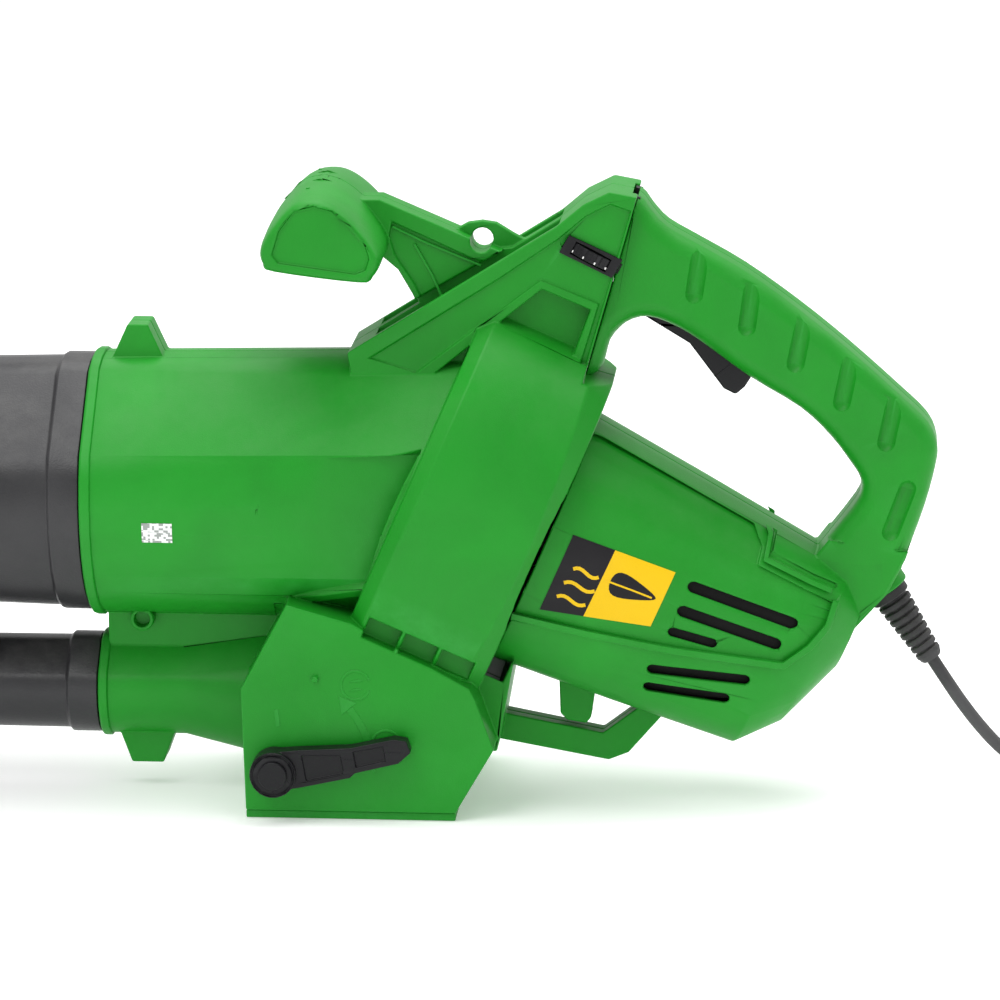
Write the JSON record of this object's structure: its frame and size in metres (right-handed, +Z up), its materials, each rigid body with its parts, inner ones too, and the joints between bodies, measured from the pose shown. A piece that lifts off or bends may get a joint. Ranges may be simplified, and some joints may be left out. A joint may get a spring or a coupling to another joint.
{
  "type": "leaf blower",
  "caption": "Corded leaf blower and garden vacuum: moulded body with tilted fan and motor housing, twin tubes, front cross handle, D-shaped rear handle, mode lever and cord.",
  "frame": {"origin": "middle of the flat underside of the base frame, where the machine rests", "axes": "+X to the rear handle, -X along the tubes to the nozzle, +Y to the machine's right as its user holds it facing -X (the side without the lever), +Z up"},
  "size_m": [1.124, 0.2778, 0.3125],
  "materials": {
    "green_plastic": "satin moulded plastic with a fine spark texture",
    "black_plastic": "satin black moulded plastic",
    "black_rubber": "matt flexible PVC and rubber",
    "steel": "zinc-plated and ground steel",
    "laminations": "stacked electrical steel sheets",
    "copper": "copper windings and segments",
    "carbon": "pressed carbon",
    "circuit_board": "green board laminate",
    "capacitor_film": "yellow capacitor case"
  },
  "bodies": {
    "housing": {"front_housing_left": "green_plastic", "front_housing_right": "green_plastic", "rear_housing_left": "green_plastic", "rear_housing_right": "green_plastic", "base_frame": "black_plastic", "suction_tube_rear": "black_plastic", "suction_tube_front": "black_plastic", "blower_tube_rear": "black_plastic", "blower_nozzle": "black_plastic", "tube_bridge_rear": "black_plastic", "tube_bridge_front": "black_plastic", "axle_holder": "black_plastic", "axle_cap_left": "black_plastic", "axle_cap_right": "black_plastic", "fan_back_plate": "black_plastic", "motor_end_cap": "black_plastic", "air_guide": "black_plastic", "brush_holder_left": "black_plastic", "brush_holder_right": "black_plastic", "trigger_switch": "black_plastic", "cord_clamp": "black_plastic", "cord": "black_rubber", "internal_lead": "black_rubber", "strain_relief": "black_rubber", "plug": "black_rubber", "housing_screw_top": "steel", "housing_screw_web": "steel", "housing_screw_foot": "steel", "motor_screw_1": "steel", "motor_screw_2": "steel", "wheel_axle": "steel", "bearing_front": "steel", "bearing_rear": "steel", "trigger_pin": "steel", "trigger_spring": "steel", "plug_pin_left": "steel", "plug_pin_right": "steel", "motor_stator": "laminations", "carbon_brush_left": "carbon", "carbon_brush_right": "carbon", "speed_board": "circuit_board", "speed_potentiometer": "circuit_board", "suppression_capacitor": "capacitor_film"},
    "rotor": {"impeller": "black_plastic", "impeller_nut": "steel", "rotor_shaft": "steel", "armature": "copper", "commutator": "copper"},
    "diverter": {"flap_shaft": "steel", "diverter_flap": "black_plastic", "mode_lever": "black_plastic", "lever_cap": "black_plastic"},
    "trigger": {"trigger": "black_plastic"},
    "speed_dial": {"speed_dial": "black_plastic"},
    "wheel_left": {"guide_wheel_left": "black_plastic"},
    "wheel_right": {"guide_wheel_right": "black_plastic"}
  },
  "joints": [
    {"name": "mode_lever_turn", "type": "hinge", "parent": "housing", "child": "diverter", "pos_m": [-0.038, 0, 0.026], "axis": [0, -1, 0], "range_deg": [0, 56]},
    {"name": "trigger_squeeze", "type": "hinge", "parent": "housing", "child": "trigger", "pos_m": [0.1365, 0, 0.254], "axis": [0, -1, 0], "range_deg": [0, 9], "stiffness_Nm_per_rad": 0.8, "springref_deg": -8.59},
    {"name": "speed_dial_turn", "type": "hinge", "parent": "housing", "child": "speed_dial", "pos_m": [0.115, -0.0125, 0.2775], "axis": [0.46, 0, 0.8879], "range_deg": [-135, 135]},
    {"name": "rotor_spin", "type": "hinge", "parent": "housing", "child": "rotor", "pos_m": [0.057, 0, 0.147], "axis": [0.9171, 0, -0.3987], "continuous": true},
    {"name": "wheel_left_spin", "type": "hinge", "parent": "housing", "child": "wheel_left", "pos_m": [-0.646, -0.041, 0.02], "axis": [0, 1, 0], "continuous": true},
    {"name": "wheel_right_spin", "type": "hinge", "parent": "housing", "child": "wheel_right", "pos_m": [-0.646, 0.041, 0.02], "axis": [0, 1, 0], "continuous": true}
  ]
}
